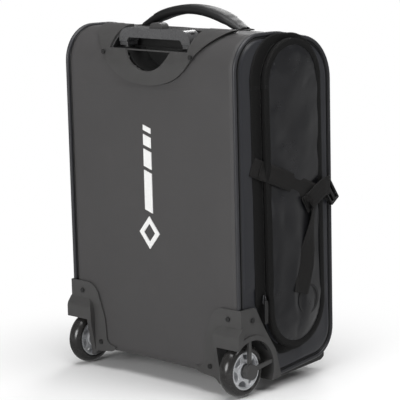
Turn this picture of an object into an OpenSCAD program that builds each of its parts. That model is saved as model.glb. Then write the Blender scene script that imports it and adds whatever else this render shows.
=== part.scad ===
// Wheeled skate bag: soft trolley bag with a two-stage pull handle, skate wheels,
// a hinged flap with a skate pocket on each side and a zipped front lid.
// X runs left to right as seen from the front, the front faces -Y, and Z is up.
// The origin is on the floor, under the middle of the bag.

/* [Bag body] */
// Width between the two side panels' outer faces
bag_w = 350; // [340:2:360]
// Depth from the front panel to the back panel
bag_d = 208; // [204:1:214]
// Height of the top face over the floor
bag_h = 530; // [526:1:536]
// Thickness of the padded fabric walls
wall = 4; // [3:0.5:5]

/* [Wheels] */
// Radius of the skate wheels
wheel_r = 40; // [38:0.5:40]
// Width of the tyres
wheel_w = 24; // [20:1:24]
// Distance from the bag's centre plane to each wheel's centre
wheel_x = 160; // [159:1:161]
// Distance from the back panel's face forward to the wheel axis
wheel_inset = 15; // [14:1:16]

/* [Pull handle] */
// Distance from the centre plane to each tube's axis
tube_x = 65; // [63:1:66]
// Travel of the middle tubes
mid_travel = 230; // [150:10:260]
// Travel of the inner tubes
top_travel = 230; // [150:10:260]
// Overall width of the grip
grip_w = 146; // [142:1:148]

/* [Side flaps] */
// Radius of the flaps' round ends, half their width
flap_r = 62; // [58:1:63]
// Height of the upper end's centre
flap_top_z = 457; // [450:1:458]
// Height of the lower end's centre
flap_low_z = 121; // [119:1:130]

/* [Straps] */
// Width of the compression webbing
strap_w = 28; // [24:1:30]
// Thickness of the compression webbing
strap_t = 1.6; // [1.2:0.1:2]

/* [Hidden] */

$fn = 64;
gap = 0.3;                      // clearance between neighbouring fabric and moulded parts
half_w = bag_w / 2;
back_y = bag_d / 2;
front_y = -bag_d / 2;
wheel_y = back_y - wheel_inset;
wheel_z = wheel_r;
tube_y = back_y - 27;
roll_r = 52;                    // radius of the top rear edge
arc_steps = 12;                 // steps in a rounded corner
small_steps = 3;                // steps in a corner of less than 3 mm radius

// ---- outline helpers ------------------------------------------------------

function unit(v) = v / norm(v);
function angle_of(v) = atan2(v[1], v[0]);
function turn(a) = a > 180 ? a - 360 : a < -180 ? a + 360 : a;

// Points of the arc that rounds corner b, between a and c, with radius r
function corner(a, b, c, r) =
    let (u = unit(a - b), v = unit(c - b), half = acos(u * v) / 2,
         centre = b + unit(u + v) * r / sin(half),
         from = angle_of(b + u * r / tan(half) - centre),
         sweep = turn(angle_of(b + v * r / tan(half) - centre) - from),
         steps = r < 3 ? small_steps : arc_steps)
    [for (i = [0:steps]) centre + r * [cos(from + sweep * i / steps), sin(from + sweep * i / steps)]];

// Outline through pts, a list of [x, y, radius]
function rounded(pts) =
    let (n = len(pts), xy = [for (p = pts) [p[0], p[1]]])
    [for (i = [0:n - 1]) each corner(xy[(i + n - 1) % n], xy[i], xy[(i + 1) % n], pts[i][2])];

// Side view of the bag, as [y, z], shrunk by inset
function side_outline(inset) = rounded([
    [back_y - inset, 31 + inset, 10 - inset],
    [15, 22 + inset, 60],
    [front_y + inset, 33 + inset, 42 - inset],
    [front_y + inset, bag_h - 22 - inset, 66 - inset],
    [10, bag_h - 1.5 - inset, 100],
    [back_y - inset, bag_h - inset, roll_r - inset]]);

// Extrudes a [y, z] outline along X from x0 to x1
module along_x(x0, x1) {
    translate([x0, 0, 0]) rotate([90, 0, 90]) linear_extrude(x1 - x0) children();
}

// Extrudes an [x, z] outline along Y from y0 to y1
module along_y(y0, y1) {
    translate([0, y1, 0]) rotate([90, 0, 0]) linear_extrude(y1 - y0) children();
}

// Cylinder along X between x0 and x1
module rod_x(x0, x1, y, z, r) {
    translate([x0, y, z]) rotate([0, 90, 0]) cylinder(h = x1 - x0, r = r);
}

// Cylinder along Y between y0 and y1
module rod_y(y0, y1, x, z, r) {
    translate([x, y1, z]) rotate([90, 0, 0]) cylinder(h = y1 - y0, r = r);
}

module both_sides() {
    children();
    mirror([1, 0, 0]) children();
}

module left_side() { mirror([1, 0, 0]) children(); }

// ---- body -----------------------------------------------------------------

flap_top_y = -9;
flap_low_y = -13;
flap_tilt = atan((flap_top_y - flap_low_y) / (flap_top_z - flap_low_z));

// Two round ends joined by straight sides, as [y, z]
module flap_shape(r) {
    polygon(concat(
        [for (i = [0:24]) [flap_top_y + r * cos(i * 7.5 - flap_tilt), flap_top_z + r * sin(i * 7.5 - flap_tilt)]],
        [for (i = [24:48]) [flap_low_y + r * cos(i * 7.5 - flap_tilt), flap_low_z + r * sin(i * 7.5 - flap_tilt)]]));
}

cup_half = tube_x + 15;          // half width of the handle recess
cup_front = tube_y - 23;
cup_floor = bag_h - 28;          // height of the ledge that the grip stands on
cup_bottom = bag_h - 67;

cup_lip = cup_floor - 6;         // below this height the cup stays behind the back sheet

module handle_recess(extra) {
    translate([-cup_half - extra, cup_front - extra, cup_bottom - extra])
        cube([2 * cup_half + 2 * extra, back_y - wall - cup_front, 120]);
    translate([-cup_half - extra, cup_front - extra, cup_lip - extra])
        cube([2 * cup_half + 2 * extra, 60, 80]);
}

well_in = 134;                   // inner wall of a wheel well
arch_y = wheel_y - 3;
arch_r = wheel_r + 6.5;
well_r = arch_r + 3.5;

// Side view, as [y, z], of the round well with its open rear and underside
module well_shape(extra) {
    translate([arch_y, wheel_z]) circle(r = well_r + extra, $fn = 96);
    translate([arch_y + 1, -5]) square([60, wheel_z + well_r + extra + 4.6]);
    translate([arch_y - well_r - extra + 0.4, -5]) square([90, wheel_z + 5]);
}

// Everything that a wheel housing takes out of the bag's lower rear corners
module wheel_clearance(extra) {
    along_x(well_in - 5, half_w + 12) well_shape(extra);
}

module wrap_sheet() {
    difference() {
        along_x(-half_w + wall + gap, half_w - wall - gap) polygon(side_outline(0));
        along_x(-half_w, half_w) polygon(side_outline(wall));
        both_sides() wheel_clearance(gap);
    }
}

seam_y = 10;                     // where the back sheet meets the front sheet, at the top and the bottom

module back_panel() {
    color("#4b4b4b") difference() {
        wrap_sheet();
        translate([-half_w, -back_y - 50, -1]) cube([bag_w, back_y + 50 + seam_y, bag_h + 20]);
        handle_recess(gap);
        finger_moon(back_y - 20, back_y + 5, moon_r + 1);
    }
}

lid_w = 276;
lid_low = 82;
lid_top = 438;
lid_r = 40;

module lid_shape(inset) {
    polygon(rounded([
        [-lid_w / 2 + inset, lid_low + inset, lid_r - inset],
        [lid_w / 2 - inset, lid_low + inset, lid_r - inset],
        [lid_w / 2 - inset, lid_top - inset, lid_r - inset],
        [-lid_w / 2 + inset, lid_top - inset, lid_r - inset]]));
}

module front_panel() {
    color("#2c2c2f") difference() {
        wrap_sheet();
        translate([-half_w, seam_y - gap, -1]) cube([bag_w, back_y + 50, bag_h + 20]);
        along_y(front_y - 20, front_y + 20) lid_shape(8);
    }
}

module side_panel() {
    color("#45464b") difference() {
        along_x(half_w - wall, half_w) polygon(side_outline(4.4));
        along_x(half_w - 10, half_w + 10) flap_shape(flap_r - 10);
        wheel_clearance(gap);
    }
}

// Cord sewn into the edge between a side panel and the back, top and front sheets
module piping() {
    color("#3a3b3e") difference() {
        along_x(half_w - wall, half_w + 1.5) polygon(side_outline(-1.5));
        along_x(half_w - 10, half_w + 10) polygon(side_outline(4.1));
        wheel_clearance(gap);
        translate([half_w - 10, wheel_y - 20, -1]) cube([20, 60, 137]);
        translate([half_w - 10, 15, -1]) cube([20, 80, 35]);
    }
}

// Stiff board between the back sheet and the tubes
module back_board() {
    color("#1f1f1f") translate([-120, back_y - wall - 1.8, 60]) cube([240, 1.6, cup_bottom - 65]);
}

module bottom_plate() {
    color("#1c1c1d") difference() {
        along_x(-165, 165) polygon([[24, 11], [-90, 17], [-97, 21], [-97, 30], [-60, 28.2], [-40, 26.3], [14, 21.3], [24, 20.9]]);
        for (s = [-1, 1]) translate([s * 70, foot_y, 0]) cylinder(h = 40, r = 2.2);
        both_sides() wheel_clearance(gap);
    }
}

foot_y = -79;
foot_h = 15.2;

module front_foot() {
    color("#161616") difference() {
        along_x(-102, 102) polygon(rounded([[-92, 0, 3], [-66, 0, 3], [-68, foot_h, 1.5], [-90, foot_h, 1.5]]));
        for (s = [-1, 1]) translate([s * 70, foot_y, -1]) cylinder(h = 8, r = 5);
        for (s = [-1, 1]) translate([s * 70, foot_y, -1]) cylinder(h = 30, r = 2.2);
    }
}

module foot_screws() {
    color("#8c8c8c") for (s = [-1, 1]) translate([s * 70, foot_y, 4]) {
        cylinder(h = 3, r = 4);
        cylinder(h = 20, r = 2);
    }
}

// ---- pull handle ----------------------------------------------------------

moon_r = 51;
moon_z = cup_floor + 20;

// Outline of the bezel seen from behind, as [x, z]
module bezel_shape() {
    translate([0, cup_floor]) polygon(rounded([[0, -57, 150], [70, -38, 85], [100, 4, 140], [136, 33, 6],
        [136, 60, 1], [-136, 60, 1], [-136, 33, 6], [-100, 4, 140], [-70, -38, 85]]));
}

module finger_moon(y0, y1, r) {
    intersection() {
        rod_y(y0, y1, 0, moon_z, r);
        translate([-80, y0, cup_floor - 60]) cube([160, y1 - y0, 60.5]);
    }
}

dimple_r = 60;

// Moulded plate that follows the roll of the back sheet over the top edge
module handle_bezel() {
    color("#5a5a5a") difference() {
        intersection() {
            along_x(-140, 140) polygon(side_outline(-4.5));
            along_y(50, back_y + 10) bezel_shape();
        }
        along_x(-141, 141) polygon(side_outline(-gap));
        translate([-cup_half, 40, cup_floor]) cube([2 * cup_half, 90, 60]);
        finger_moon(back_y - 5, back_y + 10, moon_r);
        for (s = [-1, 1]) translate([s * 88, back_y + 4.5 + dimple_r - 2.4, cup_floor - 36]) sphere(r = dimple_r);
        for (s = [-1, 1]) rod_y(back_y - 10, back_y + 10, s * 90, bezel_screw_z, 2.1);
    }
}

bezel_screw_z = cup_floor - 6;
bezel_screw_rise = bezel_screw_z - (bag_h - roll_r);
bezel_screw_face = back_y - roll_r + sqrt(pow(roll_r, 2) - pow(bezel_screw_rise, 2));     // back sheet's y at the screws

module bezel_screws() {
    color("#2b2b2b") for (s = [-1, 1]) {
        rod_y(bezel_screw_face + 6.2, bezel_screw_face + 7.6, s * 90, bezel_screw_z, 3.6);
        rod_y(bezel_screw_face + 1.2, bezel_screw_face + 6.5, s * 90, bezel_screw_z, 2);
    }
}

module handle_cup() {
    color("#1d1d1d") difference() {
        handle_recess(0);
        translate([-200, back_y, 0]) cube([400, 100, 700]);
        translate([-200, 0, 0]) rotate([90, 0, 90]) linear_extrude(400) difference() {
            translate([0, bag_h - 60]) square([200, 200]);
            polygon(side_outline(0));
        }
        along_x(-200, 200) difference() {
            translate([0, cup_bottom - 5]) square([200, cup_lip - cup_bottom + 5 - gap]);
            polygon(side_outline(wall + gap));
        }
        translate([-cup_half + 3, cup_front + 3, cup_floor]) cube([2 * cup_half - 6, 60, 60]);
        finger_moon(cup_front + 8, back_y + 1, moon_r - 1);
        for (s = [-1, 1]) translate([s * tube_x, tube_y, cup_bottom - 1]) cylinder(h = 60, r = outer_r + gap);
        for (s = [-1, 1]) translate([s * tube_x, tube_y, cup_floor - 2]) cylinder(h = 10, r = 11.3);
    }
}

outer_r = 9;
mid_r = 8;
inner_r = 7;
slide_fit = 0.1;
tube_wall = 0.9;

module tube_pair(z0, z1, r_out, r_in) {
    for (s = [-1, 1]) translate([s * tube_x, tube_y, z0]) difference() {
        cylinder(h = z1 - z0, r = r_out);
        translate([0, 0, -1]) cylinder(h = z1 - z0 + 2, r = r_in);
    }
}

module outer_tubes() { color("#9a9c9f") tube_pair(48, cup_floor - 2.1, outer_r, mid_r + slide_fit); }
module outer_collars() { color("#222222") tube_pair(cup_floor - 2, cup_floor, 11, mid_r + slide_fit); }
module mid_tubes() { color("#a6a8ab") tube_pair(62, cup_floor, mid_r, inner_r + slide_fit); }
module mid_collars() { color("#2a2a2a") tube_pair(cup_floor + 0.2, cup_floor + 2.6, 9.5, inner_r + slide_fit); }
module inner_tubes() { color("#b2b4b7") tube_pair(76, cup_floor + 17, inner_r, inner_r - tube_wall); }

// Caps that close the outer tubes and stand on the bag's floor
module tube_feet() {
    color("#1b1b1b") for (s = [-1, 1]) translate([s * tube_x, tube_y, 40]) {
        cylinder(h = 7.8, r = 11);
        cylinder(h = 12, r = 7.8);
    }
}

grip_low = cup_floor + 3;
grip_split = cup_floor + 9;
grip_top = cup_floor + 30;
grip_y0 = tube_y - 12;
grip_y1 = tube_y + 12;
leg_w = 16;

module grip_sockets() {
    color("#6b6c6e") for (s = [-1, 1]) difference() {
        translate([s * tube_x - leg_w / 2, grip_y0 + 1, grip_low]) cube([leg_w, 22, grip_split - grip_low - 0.1]);
        translate([s * tube_x, tube_y, 0]) cylinder(h = 700, r = inner_r + 0.02);
    }
}

button_w = 27;
press = 4;

module grip() {
    color("#6b6c6e") difference() {
        along_y(grip_y0, grip_y1) polygon(rounded([
            [-grip_w / 2, grip_split, 0.5], [-grip_w / 2 + leg_w, grip_split, 0.5],
            [-grip_w / 2 + leg_w + 3, cup_floor + 15.5, 5], [grip_w / 2 - leg_w - 3, cup_floor + 15.5, 5],
            [grip_w / 2 - leg_w, grip_split, 0.5], [grip_w / 2, grip_split, 0.5],
            [grip_w / 2, grip_top, 17], [-grip_w / 2, grip_top, 17]]));
        for (s = [-1, 1]) translate([s * tube_x, tube_y, 0]) cylinder(h = cup_floor + 17.1, r = inner_r + 0.02);
        translate([-button_w / 2 - 0.3, tube_y - 7.3, cup_floor + 17.2]) cube([button_w + 0.6, 14.6, 40]);
        translate([-tube_x - 4, tube_y - 4, cup_floor + 17.1]) cube([2 * tube_x + 8, 8, 9]);
    }
}

// Button with the bar that carries both push rods
module release_button() {
    color("#8a8a8a") {
        translate([0, tube_y, cup_floor + 22]) rotate([90, 0, 0]) translate([0, 0, -7]) linear_extrude(14)
            polygon(rounded([[-button_w / 2, 0, 0.5], [button_w / 2, 0, 0.5], [button_w / 2, 16.5, 7.9], [-button_w / 2, 16.5, 7.9]]));
        translate([-tube_x - 3, tube_y - 3, cup_floor + 22]) cube([2 * tube_x + 6, 6, 3.5]);
    }
}

module push_rods() {
    color("#b0b0b0") for (s = [-1, 1]) translate([s * tube_x, tube_y, 84]) cylinder(h = cup_floor + 21.9 - 84, r = 2.5);
}

// ---- wheels ---------------------------------------------------------------

core_r = 28.5;
bearing_r = 11;
bearing_w = 7;
axle_r = 4;
cap_in = wheel_x + wheel_w / 2 + 1.2;
plate_out = half_w + 4.5;

module tyre() {
    color("#2e2d2c") translate([wheel_x, wheel_y, wheel_z]) rotate([0, 90, 0]) rotate_extrude($fn = 128)
        polygon(concat([[core_r, -wheel_w / 2 + 1.5], [wheel_r - 9, -wheel_w / 2]],
            [for (i = [1:15]) let (a = -90 + i * 180 / 16) [wheel_r - 9 + 9 * cos(a), wheel_w / 2 * sin(a)]],
            [[wheel_r - 9, wheel_w / 2], [core_r, wheel_w / 2 - 1.5]]));
}

windows = 6;

module hub() {
    rim_half = wheel_w / 2 - 1.5;
    color("#d4d5d8") translate([wheel_x, wheel_y, wheel_z]) rotate([0, 90, 0]) difference() {
        cylinder(h = 2 * rim_half, r = core_r, center = true, $fn = 128);
        for (s = [0, 1]) mirror([0, 0, s]) translate([0, 0, rim_half - 2.5]) difference() {
            cylinder(h = 20, r = core_r - 2.5, $fn = 128);
            cylinder(h = 20, r = bearing_r + 2.5);
        }
        for (s = [0, 1]) mirror([0, 0, s]) translate([0, 0, 4]) cylinder(h = 20, r = bearing_r);
        cylinder(h = 40, r = axle_r + 2.2, center = true);
        for (i = [0:windows - 1]) rotate(i * 360 / windows + 15) intersection() {
            cylinder(h = 40, r = core_r - 4.5, center = true, $fn = 128);
            translate([core_r - 3.5, 0, 0]) cylinder(h = 40, r = 9.5, center = true);
        }
    }
}

module bearings() {
    color("#3b3b3d") for (s = [-1, 1]) difference() {
        rod_x(wheel_x + s * 7.6 - 3.5, wheel_x + s * 7.6 + 3.5, wheel_y, wheel_z, bearing_r - 0.02);
        rod_x(0, 300, wheel_y, wheel_z, axle_r + 0.05);
    }
}

module spacer() {
    color("#77787a") difference() {
        rod_x(wheel_x - 4, wheel_x + 4, wheel_y, wheel_z, axle_r + 1.6);
        rod_x(0, 300, wheel_y, wheel_z, axle_r + 0.05);
    }
}

module axle() {
    color("#808184") {
        rod_x(well_in - 0.2, cap_in + 5, wheel_y, wheel_z, axle_r);
        rod_x(well_in - 4, well_in - 0.1, wheel_y, wheel_z, 7);
    }
}

// One spoke of the outer axle bracket, from the cap to the arch, at angle a from +Y towards +Z
module bracket_arm(a) {
    translate([half_w + 0.4, wheel_y, wheel_z]) rotate([a, 0, 0]) translate([0, 6, -3]) cube([4, arch_r, 6]);
}

module housing_back_shape() {
    polygon(rounded([[plate_out, 18, 1], [plate_out, 134, 2], [126, 134, 26], [106, 80, 60],
        [103, 42, 12], [82, 37, 2], [92, 30, 4], [well_in - 8, 26, 8], [well_in, 18, 2]]));
}

module housing_side_shape() {
    polygon(rounded([[back_y + 3.4, 134, 1], [back_y - 28, 134, 8], [back_y - 47, 100, 16],
        [back_y - 72, 62, 30], [back_y - 84, 18, 4], [back_y + 3.4, 18, 1]]));
}

hood_low = 76;                  // height of the hood's lower edge over the wheel
hood_in = 129;

// Raised hood above and beside the wheel: its rear view [x, z] and its side view [y, z]
module hood() {
    intersection() {
        along_y(back_y + gap, back_y + 12) polygon(rounded([[plate_out + 2, 20, 1], [plate_out + 2, 110, 2],
            [hood_in, 110, 22], [hood_in, 20, 2]]));
        along_x(hood_in - 5, plate_out + 5) polygon([[back_y + gap, 20], [back_y + 3.6, 26], [back_y + 12, 74],
            [back_y + 12, 93], [back_y + 10.5, 98], [back_y + 3.6, 107], [back_y + gap, 109]]);
    }
}

// Arch over the wheel on the side plate, as [y, z]
module arch_shape() {
    intersection() {
        translate([arch_y, wheel_z]) circle(r = arch_r + 7, $fn = 96);
        translate([0, 18]) square([back_y + 9, 100]);
    }
}

// The wheel's space, open to the back and to the floor
module wheel_space() {
    rod_x(well_in + 3.5, plate_out + 10, arch_y, wheel_z, arch_r);
    translate([well_in + 3.5, wheel_y + 2, -20]) cube([80, 80, hood_low + 20]);
    translate([well_in + 3.5, arch_y - arch_r + 1, -20]) cube([80, 120, 38]);
}

module housing_shell() {
    along_y(back_y + gap, back_y + 3.4) housing_back_shape();
    along_x(half_w + gap, plate_out) housing_side_shape();
    intersection() {
        along_x(well_in, plate_out) well_shape(0);
        translate([well_in - 1, 0, 18]) cube([80, back_y + 3.4, 100]);
    }
    along_x(half_w + gap, plate_out + 2) arch_shape();
    hood();
}

module wheel_housing() {
    color("#3d3d3e") difference() {
        housing_shell();
        wheel_space();
        rod_x(0, 300, wheel_y, wheel_z, axle_r + 0.05);
        for (p = back_screws) rod_y(back_y - 5, back_y + 20, p[0], p[1], 2.1);
        rod_x(half_w - 5, half_w + 20, side_screw[0], side_screw[1], 2.1);
    }
    color("#3d3d3e") difference() {
        union() {
            rod_x(cap_in, plate_out + 3.5, wheel_y, wheel_z, 11.5);
            rod_x(well_in + 2, wheel_x - wheel_w / 2 - 1, wheel_y, wheel_z, 8);
            bracket_arm(90);
            bracket_arm(172);
        }
        rod_x(0, cap_in + 5.2, wheel_y, wheel_z, axle_r + 0.05);
    }
}

back_screws = [[154, 119], [116, 42]];
side_screw = [back_y - 21, 116];

module housing_screws() {
    color("#1a1a1a") {
        for (p = back_screws) {
            rod_y(back_y + 3.5, back_y + 5.2, p[0], p[1], 3.8);
            rod_y(back_y + 0.4, back_y + 4, p[0], p[1], 2);
        }
        rod_x(plate_out + 0.1, plate_out + 1.8, side_screw[0], side_screw[1], 3.8);
        rod_x(half_w + 0.4, plate_out + 0.5, side_screw[0], side_screw[1], 2);
    }
}

// ---- carry handle ---------------------------------------------------------

carry_x = 94;
carry_z = bag_h + 3;            // height of the hinge line in the sewn ends

// Padded arch between the two anchors, narrowing towards its sewn ends
module carry_handle() {
    rise = 30;
    span = carry_x + 8;
    radius = (span * span + rise * rise) / (2 * rise);
    color("#2a2a2c") intersection() {
        difference() {
            rod_y_smooth(-15, 15, 0, carry_z + rise - radius, radius);
            rod_y_smooth(-20, 20, 0, carry_z + rise - radius, radius - 13);
        }
        translate([0, 0, carry_z]) linear_extrude(60) polygon([[-span - 1, -6], [-86, -15], [86, -15],
            [span + 1, -6], [span + 1, 6], [86, 15], [-86, 15], [-span - 1, 6]]);
        along_x(-span - 2, span + 2) polygon([[0, carry_z + 0.1], [15.5, carry_z + 11.3],
            [15.5, carry_z + 40], [-15.5, carry_z + 40], [-15.5, carry_z + 11.3]]);
    }
}

module rod_y_smooth(y0, y1, x, z, r) {
    translate([x, y1, z]) rotate([90, 0, 0]) cylinder(h = y1 - y0, r = r, $fn = 360);
}

module carry_handle_anchors() {
    color("#242425") for (s = [-1, 1]) translate([s * carry_x - 13, -13, bag_h - 1.4]) cube([26, 24, 2.2]);
}

// ---- side pockets, flaps and straps ---------------------------------------

module pocket_liner() {
    depth = 52;
    color("#3b3c40") difference() {
        along_x(half_w - wall - gap - depth, half_w - wall - gap) flap_shape(flap_r - 11);
        along_x(half_w - wall - gap - depth + 2, half_w + 1) flap_shape(flap_r - 13);
    }
}

flap_in = half_w + 1.8;
flap_step = 4;

// Crowned flap, stepped in thickness from its edge to its middle
module side_flap() {
    color("#35363a") {
        along_x(flap_in, flap_in + 3) flap_shape(flap_r);
        along_x(flap_in + 3, flap_in + 3 + flap_step) flap_shape(flap_r - 6);
        along_x(flap_in + 3 + flap_step, flap_in + 3 + 2 * flap_step) flap_shape(flap_r - 18);
    }
}

flap_out = flap_in + 3 + 2 * flap_step;
badge_y = -33;
badge_z = 128;

module flap_badge() {
    color("#202022") difference() {
        rod_x(flap_out + 0.1, flap_out + 1.6, badge_y, badge_z, 23);
        rod_x(flap_out + 1.0, flap_out + 3, badge_y, badge_z, 19);
    }
}

strap_slope = 23.5;
strap_z = 304;                  // height of the strap's middle at y = strap_y
strap_y = flap_top_y;
hinge_y = flap_low_y - flap_r - 1;

// Strap frame: y runs up the strap towards the back, z across it
module strap_frame() {
    translate([0, strap_y, strap_z]) rotate([strap_slope, 0, 0]) children();
}

strap_x = flap_out + 0.3;

// Webbing over the flap with its step down at the rear edge and its hanging tail
module strap() {
    color("#303031") {
        strap_frame() translate([strap_x, -54, -strap_w / 2]) cube([strap_t, 130, strap_w]);
        strap_frame() translate([flap_in + 0.2, 76, -strap_w / 2]) cube([strap_x + strap_t - flap_in - 0.2, strap_t, strap_w]);
        translate([strap_x + strap_t - 0.2, -24, 140]) rotate([17, 0, 0]) cube([strap_t, strap_w, 125]);
    }
}

module strap_anchor() {
    color("#303031") strap_frame() translate([half_w + 0.1, 79, -strap_w / 2]) cube([strap_t, 10, strap_w]);
}

buckle_y = front_y + 9;
buckle_z = 281;
buckle_tilt = 34;               // lean of the buckle's length from upright

// Ladder-lock frame beside the front corner
module buckle() {
    color("#1a1a1b") translate([half_w + 3.3, buckle_y, buckle_z]) rotate([-buckle_tilt, 0, 0]) difference() {
        translate([0, -10, -19]) cube([6, 20, 38]);
        for (s = [-4.6, 4.6]) translate([-5, s - 2.2, -15]) cube([20, 4.4, 30]);
    }
}

// Webbing from the front seam back to the flap's hinge, and from the buckle to the front panel
module strap_fronts() {
    color("#303031") both_sides() {
        translate([half_w + 0.7, front_y + 12, buckle_z - 14]) cube([strap_t, 12, strap_w]);
        translate([140, front_y - 2.2, buckle_z - 28]) cube([20, strap_t, strap_w]);
    }
}

slider_y = flap_low_y + flap_r + 10;
slider_z = 150;                 // height at which the flap's slider is parked
slider_travel = 130;

module flap_slider() {
    color("#57585a") translate([half_w + gap, slider_y - 4, slider_z - 14]) {
        cube([3.4, 8, 14]);
        translate([3.4, 3, 3]) cube([1.4, 2, 8]);
    }
}

module flap_pull() {
    color("#2b2b2c") translate([half_w + gap + 5, slider_y - 3, slider_z - 44]) cube([1.3, 6, 36]);
}

// ---- front lid ------------------------------------------------------------

lid_t = 7;

module front_lid() {
    color("#303135") along_y(front_y - gap - lid_t, front_y - gap) lid_shape(0);
}

pocket_t = wheel_y + wheel_r + front_y - gap - lid_t;       // reaches as far forward as the wheels reach back

module front_pocket() {
    color("#2a2b2e") along_y(front_y - gap - lid_t - pocket_t, front_y - gap - lid_t - 0.1) polygon(rounded([
        [-105, lid_low + 26, 26], [105, lid_low + 26, 26], [105, lid_top - 96, 26], [-105, lid_top - 96, 26]]));
}

lid_slider_z = lid_top + 6;

module lid_sliders() {
    color("#57585a") translate([8, front_y - gap - 3.6, lid_slider_z - 4]) {
        cube([14, 3.4, 8]);
        translate([3, -1.4, 3]) cube([8, 1.4, 2]);
    }
}

module lid_pulls() {
    color("#2b2b2c") translate([20, front_y - gap - 6.4, lid_slider_z - 3]) cube([34, 1.3, 6]);
}

// ---- nodes ----------------------------------------------------------------

back_panel();
front_panel();
left_side() side_panel();  // side_panel_left
side_panel();  // side_panel_right
left_side() piping();  // piping_left
piping();  // piping_right
back_board();
bottom_plate();
front_foot();
foot_screws();
handle_bezel();
handle_cup();
bezel_screws();
outer_tubes();
outer_collars();
tube_feet();
mid_tubes();
mid_collars();
inner_tubes();
grip_sockets();
grip();
release_button();
push_rods();
left_side() wheel_housing();  // wheel_housing_left
wheel_housing();  // wheel_housing_right
left_side() housing_screws();  // housing_screws_left
housing_screws();  // housing_screws_right
left_side() axle();  // axle_left
axle();  // axle_right
left_side() tyre();  // tyre_left
tyre();  // tyre_right
left_side() hub();  // hub_left
hub();  // hub_right
left_side() bearings();  // bearings_left
bearings();  // bearings_right
left_side() spacer();  // spacer_left
spacer();  // spacer_right
carry_handle();
carry_handle_anchors();
left_side() pocket_liner();  // pocket_liner_left
pocket_liner();  // pocket_liner_right
left_side() side_flap();  // side_flap_left
side_flap();  // side_flap_right
left_side() flap_badge();  // flap_badge_left
flap_badge();  // flap_badge_right
left_side() strap();  // strap_left
strap();  // strap_right
left_side() strap_anchor();  // strap_anchor_left
strap_anchor();  // strap_anchor_right
left_side() buckle();  // buckle_left
buckle();  // buckle_right
strap_fronts();
left_side() flap_slider();  // flap_slider_left
flap_slider();  // flap_slider_right
left_side() flap_pull();  // flap_pull_left
flap_pull();  // flap_pull_right
front_lid();
front_pocket();
lid_sliders();
lid_pulls();
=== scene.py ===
"""Looks of a wheeled skate bag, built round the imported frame."""
import math

import bmesh
import bpy
import numpy as np
from mathutils import Matrix, Vector, noise


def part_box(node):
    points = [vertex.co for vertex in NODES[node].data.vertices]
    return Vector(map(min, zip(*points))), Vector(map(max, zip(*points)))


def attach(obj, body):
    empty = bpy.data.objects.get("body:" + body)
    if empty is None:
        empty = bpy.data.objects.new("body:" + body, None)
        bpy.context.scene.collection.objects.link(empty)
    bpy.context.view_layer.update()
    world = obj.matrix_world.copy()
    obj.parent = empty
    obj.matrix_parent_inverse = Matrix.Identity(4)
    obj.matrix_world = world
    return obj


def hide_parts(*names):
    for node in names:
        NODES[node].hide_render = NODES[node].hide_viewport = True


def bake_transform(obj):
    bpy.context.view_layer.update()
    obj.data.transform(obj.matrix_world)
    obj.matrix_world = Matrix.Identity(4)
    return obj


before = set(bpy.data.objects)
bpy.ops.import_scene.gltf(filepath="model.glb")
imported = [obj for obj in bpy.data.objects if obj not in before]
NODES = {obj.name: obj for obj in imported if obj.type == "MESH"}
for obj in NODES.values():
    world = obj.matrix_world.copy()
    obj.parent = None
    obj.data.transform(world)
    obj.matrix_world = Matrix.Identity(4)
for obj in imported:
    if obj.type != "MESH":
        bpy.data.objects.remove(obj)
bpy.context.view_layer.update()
MM = 0.001

# Sizes in millimetres, shared with the frame
HALF_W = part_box("side_panel_right")[1].x / MM
BACK_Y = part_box("back_panel")[1].y / MM
FRONT_Y = -BACK_Y
BAG_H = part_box("back_panel")[1].z / MM
ROLL_R = 52.0
WHEEL_Y = BACK_Y - 15.0
WHEEL_Z = 40.0
WELL_Y = WHEEL_Y - 3.0
WELL_R = 50.6
WELL_IN = 131.5
SEAM_Y = 10.0
FLAP_TOP = (-9.0, 457.0)
FLAP_LOW = (-13.0, 121.0)
FLAP_R = 62.0
FLAP_IN = HALF_W + 1.8
FLAP_OUT = FLAP_IN + 11.0
LID_HALF = 138.0
LID_LOW = 82.0
LID_TOP = 438.0
LID_R = 40.0
CUP_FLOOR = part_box("outer_collars")[1].z / MM
CUP_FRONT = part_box("handle_cup")[0].y / MM
MOON_R = 51.0
STRAP_W = 28.0
STRAP_Z = 304.0
STRAP_SLOPE = math.radians(23.5)


# ---- outlines -------------------------------------------------------------

def rounded(points, steps=12):
    """Closed outline through points (a, b, radius), each corner turned into an arc."""
    out = []
    count = len(points)
    for i, (a, b, radius) in enumerate(points):
        here = np.array([a, b], float)
        before = np.array(points[i - 1][:2], float)
        after = np.array(points[(i + 1) % count][:2], float)
        u = (before - here) / np.linalg.norm(before - here)
        v = (after - here) / np.linalg.norm(after - here)
        half = math.acos(float(np.clip(u @ v, -1, 1))) / 2
        centre = here + (u + v) / np.linalg.norm(u + v) * radius / math.sin(half)
        start = here + u * radius / math.tan(half) - centre
        end = here + v * radius / math.tan(half) - centre
        first = math.atan2(start[1], start[0])
        turn = math.atan2(end[1], end[0]) - first
        turn = (turn + math.pi) % (2 * math.pi) - math.pi
        for k in range(steps + 1):
            angle = first + turn * k / steps
            out.append(centre + radius * np.array([math.cos(angle), math.sin(angle)]))
    return np.array(out)


def side_outline(inset):
    """The bag's outline seen from the side, as (y, z), shrunk by inset."""
    return rounded([
        (BACK_Y - inset, 31 + inset, 10 - inset),
        (15, 22 + inset, 60),
        (FRONT_Y + inset, 33 + inset, 42 - inset),
        (FRONT_Y + inset, BAG_H - 22 - inset, 66 - inset),
        (10, BAG_H - 1.5 - inset, 100),
        (BACK_Y - inset, BAG_H - inset, ROLL_R - inset)])


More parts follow.
